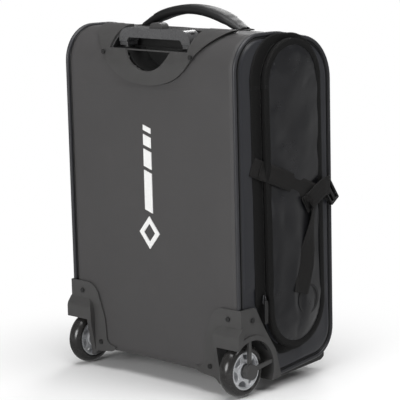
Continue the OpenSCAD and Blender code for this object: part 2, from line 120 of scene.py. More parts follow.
def resample(path, count, closed=False):
    """count points at equal steps along a polyline."""
    path = np.asarray(path, float)
    if closed:
        path = np.vstack([path, path[:1]])
    steps = np.linalg.norm(np.diff(path, axis=0), axis=1)
    keep = np.concatenate([[True], steps > 1e-9])
    path = path[keep]
    steps = np.linalg.norm(np.diff(path, axis=0), axis=1)
    along = np.concatenate([[0], np.cumsum(steps)])
    where = np.linspace(0, along[-1], count, endpoint=not closed)
    return np.stack([np.interp(where, along, path[:, k]) for k in range(path.shape[1])], 1)


def spline(points, count, closed=False):
    """Smooth curve through a few points, resampled to count."""
    pts = [np.asarray(p, float) for p in points]
    out = []
    total = len(pts)
    spans = total if closed else total - 1
    for i in range(spans):
        p0 = pts[(i - 1) % total] if closed or i > 0 else pts[0]
        p1 = pts[i]
        p2 = pts[(i + 1) % total]
        p3 = pts[(i + 2) % total] if closed or i + 2 < total else pts[-1]
        for k in range(16):
            t = k / 16
            out.append(0.5 * (2 * p1 + (p2 - p0) * t + (2 * p0 - 5 * p1 + 4 * p2 - p3) * t * t
                              + (3 * p1 - 3 * p2 + p3 - p0) * t ** 3))
    if not closed:
        out.append(pts[-1])
    return resample(np.array(out), count, closed)


def split_outline(inset, count):
    """The outline cut at the seams into a back run and a front run, bottom to top."""
    loop = resample(side_outline(inset), 1200, True)
    low = min(range(1200), key=lambda i: abs(loop[i][0] - SEAM_Y) + (1000 if loop[i][1] > 200 else 0))
    top = min(range(1200), key=lambda i: abs(loop[i][0] - SEAM_Y) + (1000 if loop[i][1] < 200 else 0))
    one = [loop[(low + k) % 1200] for k in range((top - low) % 1200 + 1)]
    two = [loop[(low - k) % 1200] for k in range((low - top) % 1200 + 1)]
    back, front = (one, two) if one[len(one) // 2][0] > 0 else (two, one)
    return resample(back, count), resample(front, count)


def stadium_frames(arc=36, straight=64):
    """Base points and outward normals round the flap, as (y, z)."""
    top = np.array(FLAP_TOP)
    low = np.array(FLAP_LOW)
    run = top - low
    tilt = math.atan2(run[0], run[1])
    bases = []
    normals = []
    for k in range(arc):
        angle = math.pi * k / arc - tilt
        bases.append(top)
        normals.append([math.cos(angle), math.sin(angle)])
    for k in range(straight):
        bases.append(top - run * k / straight)
        normals.append([-math.cos(tilt), math.sin(tilt)])
    for k in range(arc):
        angle = math.pi + math.pi * k / arc - tilt
        bases.append(low)
        normals.append([math.cos(angle), math.sin(angle)])
    for k in range(straight):
        bases.append(low + run * k / straight)
        normals.append([math.cos(tilt), -math.sin(tilt)])
    return np.array(bases), np.array(normals)


STAD_BASE, STAD_NORMAL = stadium_frames()


def stadium(radius):
    return STAD_BASE + STAD_NORMAL * radius


def side_name(s):
    """The end of a name for the bag's side at x = s * something."""
    return "right" if s > 0 else "left"


def laid(loop, x):
    """A side view outline of (y, z) as points at one x."""
    return [(x, y, z) for y, z in loop]


# ---- mesh building --------------------------------------------------------

def add_mesh(name, verts, faces, finish, body, uvs=None, smooth=True, mm=True):
    """Makes an object from vertices in millimetres and puts it on a body, if one is given."""
    mesh = bpy.data.meshes.new(name)
    scale = MM if mm else 1.0
    mesh.from_pydata([tuple(float(c) * scale for c in v) for v in verts], [], [tuple(f) for f in faces])
    if uvs is not None:
        layer = mesh.uv_layers.new(name="UVMap")
        for loop in mesh.loops:
            layer.data[loop.index].uv = uvs[loop.vertex_index]
    mesh.validate()
    mesh.update()
    obj = bpy.data.objects.new(name, mesh)
    bpy.context.scene.collection.objects.link(obj)
    if smooth:
        mesh.polygons.foreach_set("use_smooth", [True] * len(mesh.polygons))
    if finish is not None:
        material, slot = finish
        mesh.materials.append(material)
    if body is not None:
        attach(obj, body)
    return obj


def grid_faces(rows, cols, close_u=False, close_v=False, flip=False):
    faces = []
    for i in range(rows if close_u else rows - 1):
        for j in range(cols if close_v else cols - 1):
            a = i * cols + j
            b = i * cols + (j + 1) % cols
            c = ((i + 1) % rows) * cols + (j + 1) % cols
            d = ((i + 1) % rows) * cols + j
            faces.append((a, d, c, b) if flip else (a, b, c, d))
    return faces


def tube_faces(rows, cols):
    """Faces of a tube of rings with both ends capped."""
    faces = grid_faces(rows, cols, False, True)
    faces.append(tuple(range(cols))[::-1])
    faces.append(tuple((rows - 1) * cols + j for j in range(cols)))
    return faces


def frames_along(path, normals, closed):
    """Tangent, side and normal at each point of a path."""
    path = np.asarray(path, float)
    if closed:
        tangent = np.roll(path, -1, 0) - np.roll(path, 1, 0)
    else:
        tangent = np.gradient(path, axis=0)
    tangent /= np.linalg.norm(tangent, axis=1)[:, None]
    normals = np.broadcast_to(np.asarray(normals, float), path.shape)
    side = np.cross(tangent, normals)
    side /= np.linalg.norm(side, axis=1)[:, None]
    normal = np.cross(side, tangent)
    return tangent, side, normal


def sweep(name, path, section, finish, body, normals=(1, 0, 0), closed=False, scale=None, width=None):
    """Sweeps a closed section of (side, normal) points along a path; UVs run in millimetres."""
    path = np.asarray(path, float)
    section = np.asarray(section, float)
    _, side, normal = frames_along(path, normals, closed)
    rows = len(path)
    cols = len(section)
    size = np.ones(rows) if scale is None else np.asarray(scale, float)
    wide = size if width is None else np.asarray(width, float)
    verts = (path[:, None, :] + side[:, None, :] * section[None, :, :1] * wide[:, None, None]
             + normal[:, None, :] * section[None, :, 1:] * size[:, None, None])
    lengths = np.concatenate([[0], np.cumsum(np.linalg.norm(np.diff(path, axis=0), axis=1))])
    uvs = [(lengths[i], section[j][0]) for i in range(rows) for j in range(cols)]
    faces = grid_faces(rows, cols, True, True) if closed else tube_faces(rows, cols)
    obj = add_mesh(name, verts.reshape(-1, 3), faces, finish, body, uvs)
    fix_normals(obj)
    return obj


def fix_normals(obj):
    bm = bmesh.new()
    bm.from_mesh(obj.data)
    bmesh.ops.recalc_face_normals(bm, faces=bm.faces[:])
    bm.to_mesh(obj.data)
    bm.free()
    obj.data.update()


def round_section(radius, count=12):
    return [(radius * math.cos(2 * math.pi * k / count), radius * math.sin(2 * math.pi * k / count))
            for k in range(count)]


def band_section(width, thick, crown=0.0, count=7):
    """Flat webbing or tape with rounded edges, lying on normal = 0."""
    xs = np.linspace(-width / 2, width / 2, count)
    top = [(x, thick + crown * (1 - (2 * x / width) ** 2)) for x in xs[::-1]]
    edge = thick / 2
    low = [(x, 0.0) for x in xs]
    low[0] = (-width / 2 + edge * 0.4, 0.0)
    low[-1] = (width / 2 - edge * 0.4, 0.0)
    top[0] = (width / 2 - edge * 0.4, thick)
    top[-1] = (-width / 2 + edge * 0.4, thick)
    return low + [(width / 2, edge)] + top + [(-width / 2, edge)]


def merge(name, objects):
    """Joins objects that share one finish into a single piece."""
    for o in bpy.context.selected_objects:
        o.select_set(False)
    for o in objects:
        o.select_set(True)
    bpy.context.view_layer.objects.active = objects[0]
    bpy.ops.object.join()
    objects[0].name = name
    objects[0].select_set(False)
    return objects[0]


def stitches(name, path, finish, body, normals, pitch, length, radius, closed, lift):
    """A row of thread stitches along a path, as one mesh."""
    path = np.asarray(path, float)
    loop = np.vstack([path, path[:1]]) if closed else path
    total = np.linalg.norm(np.diff(loop, axis=0), axis=1).sum()
    count = max(2, int(total / pitch))
    centres = resample(path, count, closed)
    where = np.linspace(0, len(path) - 1, count).astype(int)
    normals = np.broadcast_to(np.asarray(normals, float), path.shape)[where]
    tangent, side, normal = frames_along(centres, normals, closed)
    ring = [(math.cos(a), math.sin(a)) for a in np.linspace(0, 2 * math.pi, 7)[:-1]]
    one_stitch = tube_faces(4, len(ring))
    verts = []
    faces = []
    for c, t, s, n in zip(centres, tangent, side, normal):
        base = len(verts)
        for u, r in ((-0.5, 0.35), (-0.3, 1.0), (0.3, 1.0), (0.5, 0.35)):
            for a, b in ring:
                lifted = n * (lift + b * radius * r - radius * (2 * u) ** 2 * 0.8)
                verts.append(c + t * u * length + s * a * radius * r + lifted)
        faces += [tuple(base + i for i in face) for face in one_stitch]
    obj = add_mesh(name, verts, faces, finish, body)
    fix_normals(obj)
    return obj


def thread_row(name, path, body, normals, closed=False, lift=0.1):
    """Visible sewing thread, 4 mm from stitch to stitch."""
    stitches(name, path, THREAD, body, normals, 4.0, 2.6, 0.35, closed, lift)


def zip_coil(name, path, body, normals):
    """The closed coil of a zip."""
    stitches(name, path, COIL, body, normals, 1.7, 1.0, 0.8, False, 0.2)


def apply_modifiers(obj):
    bpy.context.view_layer.update()
    graph = bpy.context.evaluated_depsgraph_get()
    mesh = bpy.data.meshes.new_from_object(obj.evaluated_get(graph))
    obj.modifiers.clear()
    obj.data = mesh


def subdivide(obj):
    smooth = obj.modifiers.new("smooth", "SUBSURF")
    smooth.levels = 1
    smooth.render_levels = 1


def wobble(point, size, seed):
    """Smooth noise between about -1 and 1."""
    p = Vector((point[0] / size + seed * 7.3, point[1] / size - seed * 3.1, point[2] / size + seed))
    return noise.noise(p) * 1.6


def smoothstep(value, low, high):
    t = np.clip((value - low) / (high - low), 0, 1)
    return t * t * (3 - 2 * t)


# ---- finishes -------------------------------------------------------------

class Shader:
    """Short helper for building one material's nodes."""

    def __init__(self, name, colour, rough, metal=0.0):
        self.material = bpy.data.materials.new(name)
        self.material.use_nodes = True
        self.tree = self.material.node_tree
        self.bsdf = self.tree.nodes["Principled BSDF"]
        self.colour = colour
        self.rough = rough
        self.bsdf.inputs["Base Color"].default_value = (*colour, 1)
        self.bsdf.inputs["Roughness"].default_value = rough
        self.bsdf.inputs["Metallic"].default_value = metal
        self.normal = None

    def node(self, kind, **inputs):
        made = self.tree.nodes.new(kind)
        for key, value in inputs.items():
            made.inputs[key.replace("_", " ")].default_value = value
        return made

    def link(self, a, b):
        self.tree.links.new(a, b)

    def coords(self, kind="Object"):
        return self.node("ShaderNodeTexCoord").outputs[kind]

    def math(self, operation, a, b=None):
        made = self.tree.nodes.new("ShaderNodeMath")
        made.operation = operation
        for socket, value in zip(made.inputs, (a, b)):
            if value is None:
                continue
            if isinstance(value, (int, float)):
                socket.default_value = value
            else:
                self.link(value, socket)
        return made.outputs[0]

    def noise(self, scale, detail=3.0, coords=None, stretch=None):
        made = self.node("ShaderNodeTexNoise", Scale=scale, Detail=detail)
        source = coords if coords is not None else self.coords()
        if stretch is not None:
            mapping = self.tree.nodes.new("ShaderNodeMapping")
            mapping.inputs["Scale"].default_value = stretch
            self.link(source, mapping.inputs["Vector"])
            source = mapping.outputs[0]
        self.link(source, made.inputs["Vector"])
        return made.outputs["Fac"]

    def cells(self, scale):
        made = self.node("ShaderNodeTexVoronoi", Scale=scale)
        made.feature = "SMOOTH_F1"
        self.link(self.coords(), made.inputs["Vector"])
        return made.outputs["Distance"]

    def bump(self, height, strength, distance):
        made = self.node("ShaderNodeBump", Strength=strength, Distance=distance)
        self.link(height, made.inputs["Height"])
        if self.normal is not None:
            self.link(self.normal, made.inputs["Normal"])
        self.normal = made.outputs["Normal"]
        self.link(self.normal, self.bsdf.inputs["Normal"])

    def ramp(self, factor, low, high):
        """Remaps a 0..1 factor to low..high."""
        made = self.tree.nodes.new("ShaderNodeMapRange")
        made.inputs["To Min"].default_value = low
        made.inputs["To Max"].default_value = high
        made.inputs["From Min"].default_value = 0.3
        made.inputs["From Max"].default_value = 0.7
        self.link(factor, made.inputs["Value"])
        return made.outputs["Result"]

    def vary_rough(self, factor, spread):
        self.link(self.ramp(factor, self.rough - spread, self.rough + spread), self.bsdf.inputs["Roughness"])

    def vary_colour(self, factor, low, high):
        """Multiplies the base colour by low..high."""
        made = self.tree.nodes.new("ShaderNodeMix")
        made.data_type = "RGBA"
        made.inputs[6].default_value = (*[c * low for c in self.colour], 1)
        made.inputs[7].default_value = (*[min(1, c * high) for c in self.colour], 1)
        self.link(factor, made.inputs[0])
        self.link(made.outputs[2], self.bsdf.inputs["Base Color"])

    def uv_axes(self):
        split = self.tree.nodes.new("ShaderNodeSeparateXYZ")
        self.link(self.coords("UV"), split.inputs[0])
        return split.outputs[0], split.outputs[1]

    def wave(self, value, period):
        return self.math("SINE", self.math("MULTIPLY", value, 2 * math.pi / period))


def coated_fabric(name, colour, rough, grain, mottle=0.12, shine=0.5, depth=0.00012):
    """Coated cloth: fine pebbled grain, faint base weave and soft mottling."""
    s = Shader(name, colour, rough)
    s.vary_colour(s.noise(14, 4), 1 - mottle, 1 + mottle)
    s.vary_rough(s.noise(35, 3), 0.06)
    s.bump(s.noise(9, 2), 0.25, 0.0012)
    s.bump(s.cells(grain), 0.35, depth)
    s.bump(s.noise(grain * 1.7, 2), 0.3, depth * 0.6)
    s.bsdf.inputs["Specular IOR Level"].default_value = shine
    return s.material


def ribbed_tape(name, colour, period=1.9):
    """Grosgrain binding: ribs across the tape and a soft woven sheen."""
    s = Shader(name, colour, 0.62)
    ribs = s.math("ADD", s.math("MULTIPLY", s.wave(s.uv_axes()[0], period), 0.5), 0.5)
    s.vary_colour(ribs, 0.45, 1.5)
    s.bump(ribs, 0.6, 0.0004)
    s.bump(s.noise(1500, 2), 0.3, 0.0001)
    s.bsdf.inputs["Sheen Weight"].default_value = 0.02
    s.bsdf.inputs["Specular IOR Level"].default_value = 0.2
    return s.material


def webbing_cloth(name, colour):
    """Herringbone webbing with raised edges."""
    s = Shader(name, colour, 0.66)
    along, across = s.uv_axes()
    slant = s.math("ADD", along, s.math("MULTIPLY", s.math("PINGPONG", across, 3.5), 1.2))
    twill = s.math("ADD", s.math("MULTIPLY", s.wave(slant, 2.0), 0.5), 0.5)
    cross = s.math("ADD", s.math("MULTIPLY", s.wave(across, 1.4), 0.5), 0.5)
    s.vary_colour(twill, 0.7, 1.35)
    s.bump(twill, 0.5, 0.0003)
    s.bump(cross, 0.35, 0.0002)
    s.bump(s.noise(1200, 2), 0.3, 0.0001)
    s.bsdf.inputs["Sheen Weight"].default_value = 0.03
    s.bsdf.inputs["Specular IOR Level"].default_value = 0.2
    return s.material


def woven_lining(name, colour):
    """Plain woven lining cloth."""
    s = Shader(name, colour, 0.7)
    split = s.tree.nodes.new("ShaderNodeSeparateXYZ")
    s.link(s.coords(), split.inputs[0])
    warp = s.wave(split.outputs[2], 0.0016)
    weft = s.wave(s.math("ADD", split.outputs[0], split.outputs[1]), 0.0016)
    weave = s.math("ADD", s.math("MULTIPLY", s.math("MULTIPLY", warp, weft), 0.5), 0.5)
    s.vary_colour(s.noise(20, 3), 0.85, 1.15)
    s.bump(weave, 0.4, 0.0003)
    return s.material


def moulded(name, colour, rough, texture=900, depth=0.00006, coat=0.0):
    """Moulded plastic: fine spark texture, flow mottling and uneven gloss."""
    s = Shader(name, colour, rough)
    s.vary_colour(s.noise(60, 3), 0.88, 1.15)
    s.vary_rough(s.noise(120, 3), 0.05)
    s.bump(s.noise(texture, 3), 0.35, depth)
    s.bsdf.inputs["Coat Weight"].default_value = coat
    s.bsdf.inputs["Coat Roughness"].default_value = 0.15
    return s.material


def metal(name, colour, rough, stretch=(400, 400, 3)):
    """Drawn or turned metal with fine directional scratches."""
    s = Shader(name, colour, rough, 1.0)
    lines = s.noise(1.0, 4, stretch=stretch)
    s.vary_rough(lines, 0.08)
    s.vary_colour(lines, 0.85, 1.1)
    s.bump(lines, 0.15, 0.00005)
    return s.material


def urethane(name, colour):
    """Polished wheel urethane with light scuffs round the tread."""
    s = Shader(name, colour, 0.24)
    s.vary_rough(s.noise(90, 5), 0.09)
    s.vary_colour(s.noise(40, 4), 0.75, 1.35)
    s.bump(s.noise(220, 3), 0.12, 0.0002)
    s.bsdf.inputs["Coat Weight"].default_value = 0.3
    s.bsdf.inputs["Coat Roughness"].default_value = 0.12
    return s.material


def silver_plastic(name, colour):
    """Silver-painted moulding with fine flake."""
    s = Shader(name, colour, 0.34, 0.35)
    s.vary_colour(s.noise(2500, 2), 0.9, 1.1)
    s.vary_rough(s.noise(200, 3), 0.07)
    s.bump(s.noise(1500, 2), 0.1, 0.00004)
    return s.material


def ink(name, colour):
    """Screen-printed ink with slight mottling."""
    s = Shader(name, colour, 0.5)
    s.vary_colour(s.noise(300, 4), 0.9, 1.05)
    s.bump(s.noise(900, 2), 0.25, 0.0001)
    return s.material


SHEET = (coated_fabric("coated_sheet", (0.062, 0.0600, 0.0605), 0.50, 900, 0.07, 0.35), "coated_sheet")
TARP = (coated_fabric("tarpaulin", (0.024, 0.025, 0.030), 0.40, 620, 0.12, 0.5), "tarpaulin")
FLAP_TARP = (coated_fabric("flap_tarpaulin", (0.011, 0.0112, 0.0130), 0.33, 560, 0.14, 0.6), "flap_tarpaulin")
LINING = (woven_lining("lining", (0.09, 0.09, 0.10)), "lining")
PIPING = (moulded("piping_cord", (0.030, 0.0305, 0.0345), 0.42, 700), "piping_cord")
TAPE = (ribbed_tape("ribbed_tape", (0.0060, 0.0058, 0.0058)), "webbing")
WEB = (webbing_cloth("webbing", (0.0120, 0.0114, 0.0112)), "webbing")
LEATHER = (coated_fabric("leatherette", (0.010, 0.010, 0.0105), 0.46, 480, 0.15, 0.5, 0.0002), "leatherette")
THREAD = (ribbed_tape("thread", (0.020, 0.020, 0.021), 0.6), "webbing")
BLACK_MOULD = (moulded("moulded_black", (0.010, 0.010, 0.010), 0.42), "moulded_black")
GREY_MOULD = (moulded("moulded_grey", (0.056, 0.0550, 0.0545), 0.38), "moulded_grey")
GRIP_MOULD = (moulded("grip_plastic", (0.075, 0.075, 0.077), 0.28, 500, 0.00003, 0.3), "grip_plastic")
BOARD = (moulded("board", (0.02, 0.02, 0.02), 0.6), "board")
TUBE = (metal("tube_metal", (0.55, 0.56, 0.57), 0.28), "tube_metal")
STEEL = (metal("steel", (0.5, 0.5, 0.5), 0.3, (3, 400, 400)), "steel")
BEARING = (metal("bearing_steel", (0.28, 0.28, 0.29), 0.35, (3, 400, 400)), "bearing_steel")
SCREW = (moulded("black_screw", (0.016, 0.016, 0.016), 0.28), "black_screw")
TYRE = (urethane("tyre_rubber", (0.022, 0.021, 0.0205)), "tyre_rubber")
HUB = (silver_plastic("hub_plastic", (0.70, 0.71, 0.73)), "hub_plastic")
BADGE = (moulded("badge_rubber", (0.014, 0.014, 0.015), 0.5, 400), "badge_rubber")
ZIP = (metal("zip_metal", (0.10, 0.10, 0.105), 0.35), "zip_metal")
PULL = (ribbed_tape("pull_tape", (0.03, 0.03, 0.03), 1.4), "pull_tape")
COIL = (moulded("zip_coil", (0.012, 0.012, 0.012), 0.4), "webbing")
INK = (ink("white_ink", (0.85, 0.85, 0.84)), "coated_sheet")


# ---- carried-over hard parts ----------------------------------------------

# Node: finish and edge radius in millimetres. PAIRED nodes come as _left and _right.
CARRIED = {
    "back_board": (BOARD, 0.4), "bottom_plate": (BLACK_MOULD, 2.0), "front_foot": (BLACK_MOULD, 1.2),
    "foot_screws": (STEEL, 0.3), "handle_bezel": (GREY_MOULD, 0.9), "handle_cup": (BLACK_MOULD, 0.8),
    "bezel_screws": (SCREW, 0.5), "outer_tubes": (TUBE, 0.2), "outer_collars": (BLACK_MOULD, 0.4),
    "tube_feet": (BLACK_MOULD, 0.5), "mid_tubes": (TUBE, 0.2), "mid_collars": (BLACK_MOULD, 0.4),
    "inner_tubes": (TUBE, 0.2), "grip_sockets": (GRIP_MOULD, 1.2), "grip": (GRIP_MOULD, 1.2),
    "release_button": (GREY_MOULD, 1.0), "push_rods": (STEEL, 0.2),
}
PAIRED = {
    "wheel_housing": (GREY_MOULD, 0.9), "housing_screws": (SCREW, 0.5), "axle": (STEEL, 0.4),
    "tyre": (TYRE, 0.0), "hub": (HUB, 0.7), "bearings": (BEARING, 0.3), "spacer": (STEEL, 0.2),
    "flap_badge": (BADGE, 0.4), "buckle": (BLACK_MOULD, 1.2),
}


def finish_cad(name, finish, bevel):
    """Gives a carried-over node its material, welded normals and rounded edges."""
    obj = NODES[name]
    obj.data.materials.clear()
    obj.data.materials.append(finish[0])
    weld = obj.modifiers.new("weld", "WELD")
    weld.merge_threshold = 0.00002
    if bevel > 0:
        rim = obj.modifiers.new("bevel", "BEVEL")
        rim.width = bevel * MM
        rim.segments = 3
        rim.limit_method = "ANGLE"
        rim.angle_limit = math.radians(35)
        rim.harden_normals = True
        rim.use_clamp_overlap = True
    obj.data.polygons.foreach_set("use_smooth", [True] * len(obj.data.polygons))
    edges = obj.modifiers.new("edges", "WEIGHTED_NORMAL")
    edges.keep_sharp = True


def finish_frame():
    for name, (finish, bevel) in CARRIED.items():
        finish_cad(name, finish, bevel)
    for name, (finish, bevel) in PAIRED.items():
        finish_cad(name + "_left", finish, bevel)
        finish_cad(name + "_right", finish, bevel)


# ---- body -----------------------------------------------------------------

def in_well(x, y, z, grow=0.0):
    if abs(x) < WELL_IN - grow:
        return False
    if math.hypot(y - WELL_Y, z - WHEEL_Z) < WELL_R + grow:
        return True
    return (y > WELL_Y and z < WHEEL_Z + WELL_R + grow) or (z < WHEEL_Z and y > WELL_Y - WELL_R - grow)


def in_cup(x, y, z):
    if y < CUP_FRONT + 0.5 or abs(x) > 79:
        return False
    return z > CUP_FLOOR - 3 or math.hypot(x, z - CUP_FLOOR - 20) < MOON_R + 1.5


def in_lid(x, y, z):
    """Inside the front opening, up to the middle of the zip tape round it."""
    if y > FRONT_Y + 12:
        return False
    corner = LID_R + 5.5
    low = LID_LOW + 9.5
    top = LID_TOP + 5.5
    beside = abs(x) - (LID_HALF + 5.5 - corner)
    above = abs(z - (low + top) / 2) - ((top - low) / 2 - corner)
    return math.hypot(max(beside, 0), max(above, 0)) < corner


def cut(verts, faces, inside):
    """Drops the faces whose middle lies inside a region."""
    verts = np.asarray(verts)
    kept = []
    for f in faces:
        c = verts[list(f)].mean(0)
        if not inside(*c):
            kept.append(f)
    used = sorted(set(i for f in kept for i in f))
    index = {old: new for new, old in enumerate(used)}
    return verts[used], [tuple(index[i] for i in f) for f in kept]


def thicken(obj, thick, offset=-1.0):
    solid = obj.modifiers.new("thickness", "SOLIDIFY")
    solid.thickness = thick * MM
    solid.offset = offset


def wrap_sheet(name, run, finish, node, puff, seed):
    """A sheet from seam to seam round the bag, rolled down to the piping at both sides."""
    half = HALF_W - 3.5
    columns = np.linspace(-half, half, 90)
    run = np.asarray(run, float)
    tangent = np.gradient(run, axis=0)
    tangent /= np.linalg.norm(tangent, axis=1)[:, None]
    outward = np.stack([tangent[:, 1], -tangent[:, 0]], 1)
    middle = len(run) // 2
    if outward[middle] @ (run[middle] - np.array([0, 280.0])) < 0:
        outward = -outward
    rows = len(run)
    verts = []
    for i in range(rows):
        for x in columns:
            edge = (half - abs(x))
            roll = -3.4 * (1 - smoothstep(edge, 0, 8))
            lift = puff(run[i][1])
            soft = wobble((x, run[i][0], run[i][1]), 75, seed) * 0.7 + wobble((x, *run[i]), 28, seed) * 0.2
            gain = smoothstep(edge, 4, 40)
            out = roll + (lift + soft) * gain
            verts.append((x, run[i][0] + outward[i][0] * out, run[i][1] + outward[i][1] * out))
    faces = grid_faces(rows, len(columns))
    verts, faces = cut(verts, faces, lambda *p: in_well(*p) or in_cup(*p) or in_lid(*p))
    obj = add_mesh(name, verts, faces, finish, "bag")
    fix_normals(obj)
    thicken(obj, 2.0)
    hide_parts(node)
    return obj


def build_wrap():
    back, front = split_outline(0, 190)

    def back_puff(z):
        if z < 450:
            return 0.7
        return 0.6 * smoothstep(z, 450, 520)

    def front_puff(z):
        return 2.2 * smoothstep(z, 40, 120) * (1 - smoothstep(z, 480, 528)) + 1.2 * smoothstep(z, 500, 530)

    wrap_sheet("back_sheet", back, SHEET, "back_panel", back_puff, 1)
    wrap_sheet("front_sheet", front, TARP, "front_panel", front_puff, 2)
    xs = np.linspace(-HALF_W + 5, HALF_W - 5, 90)
    top = [(x, SEAM_Y, float(back[-1][1]) - 0.3) for x in xs]
    seam = sweep("top_seam_tape", top, band_section(9, 0.7), TAPE, "bag", (0, 0, 1))
    return seam


def side_sheet(s):
    """The side panel, a ring between the bag's edge and the skate pocket's mouth."""
    side = side_name(s)
    outer = resample(side_outline(3.2), 900, True)
    bases = stadium(FLAP_R - 8)
    rows = 26
    verts = []
    for base, n in zip(bases, STAD_NORMAL):
        reach = ray_to_loop(base, n, outer)
        for k in range(rows):
            t = k / (rows - 1)
            t = 1 - (1 - t) ** 1.3
            y, z = base + n * reach * t
            edge = reach * (1 - t)
            x = HALF_W + 1.4 - 3.6 * (1 - smoothstep(edge, 0, 9))
            x += (wobble((y, z, s * 50), 60, 3) * 0.9 + wobble((y, z, s * 50), 22, 4) * 0.3) \
                * smoothstep(edge, 6, 18) * (1 - smoothstep(z, 60, 500) * 0.5)
            x -= 1.0 * (1 - smoothstep(np.hypot(*(np.array([y, z]) - base)), 0, 9))
            if z < 160 and y > -25:
                x = min(x, HALF_W + 0.1)
            verts.append((s * x, y, z))
    faces = grid_faces(len(bases), rows, True, False, s < 0)
    verts, faces = cut(verts, faces, in_well)
    obj = add_mesh("side_sheet_" + side, verts, faces, TARP, "bag")
    fix_normals(obj)
    thicken(obj, 2.0)
    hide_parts("side_panel_" + side)
    return obj


def ray_to_loop(origin, direction, loop):
    """Distance from a point inside a closed loop to the loop along a direction."""
    a = loop
    b = np.roll(loop, -1, 0)
    e = b - a
    cross = direction[0] * e[:, 1] - direction[1] * e[:, 0]
    w = a - origin
    with np.errstate(divide="ignore", invalid="ignore"):
        t = (w[:, 0] * e[:, 1] - w[:, 1] * e[:, 0]) / cross
        u = (w[:, 0] * direction[1] - w[:, 1] * direction[0]) / cross
    hits = t[(t > 0) & (u >= 0) & (u <= 1)]
    return float(hits.min()) if len(hits) else 0.0


def outline_path(inset, keep, count=420):
    """Part of the side outline that passes the keep test, as one open run of (y, z)."""
    loop = resample(side_outline(inset), 1500, True)
    good = [keep(*p) for p in loop]
    if all(good):
        return resample(loop, count, True), True
    start = next(i for i in range(1500) if good[i] and not good[i - 1])
    run = []
    i = start
    while good[i % 1500]:
        run.append(loop[i % 1500])
        i += 1
    return resample(run, count), False


def build_piping(s):
    """Welted cord round the side panel, with a thin dark line on each side of it: the seam there, darkened as
    painted shade for the crevice where the cord meets the sheet.
    """
    side = side_name(s)

    def clear(y, z):
        return not in_well(170, y, z, 2) and not (y > 60 and z < 134)

    edge, _ = outline_path(0.0, clear)
    path = laid(edge, s * (HALF_W - 2.4))
    cord = sweep("piping_edge_" + side, path, round_section(3.2), PIPING, "bag", (s, 0, 0))
    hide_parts("piping_" + side)
    seam_shade_lines = []
    # Two thin dark cords along the seams: painted shade standing for the crevice shadow beside the piping
    # cord.
    for inset, x in ((1.4, HALF_W - 6.6), (5.0, HALF_W - 0.9)):
        edge, _ = outline_path(inset, clear)
        seam_shade_lines.append(sweep("seam", laid(edge, s * x), round_section(0.9, 8), COIL, "bag", (s, 0, 0)))
    merge("piping_seam_shade_lines_" + side, seam_shade_lines)


# ---- side pocket, zip and flap --------------------------------------------

def build_pocket(s):
    """Lining bag behind the flap."""
    side = side_name(s)
    depth = 50.0
    rings = [(FLAP_R - 8, 0.0), (FLAP_R - 11, -3.0), (FLAP_R - 14, -14.0), (FLAP_R - 15, -30.0),
             (FLAP_R - 17, -44.0), (FLAP_R - 22, -depth), (FLAP_R - 40, -depth - 1), (3, -depth - 1)]
    verts = []
    for radius, x in rings:
        for y, z in stadium(radius):
            soft = wobble((y, z, x), 40, 5) * 1.5 * smoothstep(-x, 3, 20)
            verts.append((s * (HALF_W + x + soft), y, z))
    count = len(STAD_BASE)
    faces = grid_faces(len(rings), count, False, True)
    faces.append(tuple((len(rings) - 1) * count + j for j in range(count)))
    obj = add_mesh("pocket_lining_" + side, verts, faces, LINING, "bag")
    fix_normals(obj)
    thicken(obj, 1.0)
    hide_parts("pocket_liner_" + side)


def cushion(name, loops, finish, body):
    """Closed form from nested loops of equal length, first at the back, last in the front middle."""
    count = len(loops[0])
    verts = [p for loop in loops for p in loop]
    obj = add_mesh(name, verts, tube_faces(len(loops), count), finish, body)
    fix_normals(obj)
    return obj


def puff_cloth(obj, voxel, pressure, cap, pin=None, frames=16, shrink=0.0):
    """Remeshes, inflates with cloth pressure, caps the movement and applies the result."""
    remesh = obj.modifiers.new("remesh", "REMESH")
    remesh.mode = "VOXEL"
    remesh.voxel_size = voxel * MM
    apply_modifiers(obj)
    rest = np.array([v.co for v in obj.data.vertices])
    held = obj.vertex_groups.new(name="held")
    for i, p in enumerate(rest):
        weight = pin(p / MM) if pin else 0.0
        if weight > 0:
            held.add([i], float(weight), "REPLACE")
    cloth = obj.modifiers.new("cloth", "CLOTH")
    settings = cloth.settings
    settings.quality = 4
    settings.mass = 0.3
    settings.tension_stiffness = 12
    settings.compression_stiffness = 12
    settings.shear_stiffness = 6
    settings.bending_stiffness = 0.8
    settings.use_pressure = True
    settings.uniform_pressure_force = pressure
    settings.shrink_min = -shrink
    settings.vertex_group_mass = "held"
    settings.effector_weights.gravity = 0
    cloth.collision_settings.use_collision = False
    scene = bpy.context.scene
    scene.frame_start = 1
    scene.frame_end = frames
    cloth.point_cache.frame_start = 1
    cloth.point_cache.frame_end = frames
    for f in range(1, frames + 1):
        scene.frame_set(f)
    apply_modifiers(obj)
    moved = np.array([v.co for v in obj.data.vertices])
    step = moved - rest
    size = np.linalg.norm(step, axis=1)
    limit = np.minimum(1, cap * MM / np.maximum(size, 1e-9))
    final = rest + step * limit[:, None]
    obj.data.vertices.foreach_set("co", final.astype(np.float32).ravel())
    obj.data.update()
    obj.data.polygons.foreach_set("use_smooth", [True] * len(obj.data.polygons))
    scene.frame_set(1)


def limit_points(obj, rule):
    """Moves each vertex, in millimetres, to where rule says."""
    for v in obj.data.vertices:
        v.co = Vector(rule(np.array(v.co) / MM)) * MM
    obj.data.update()


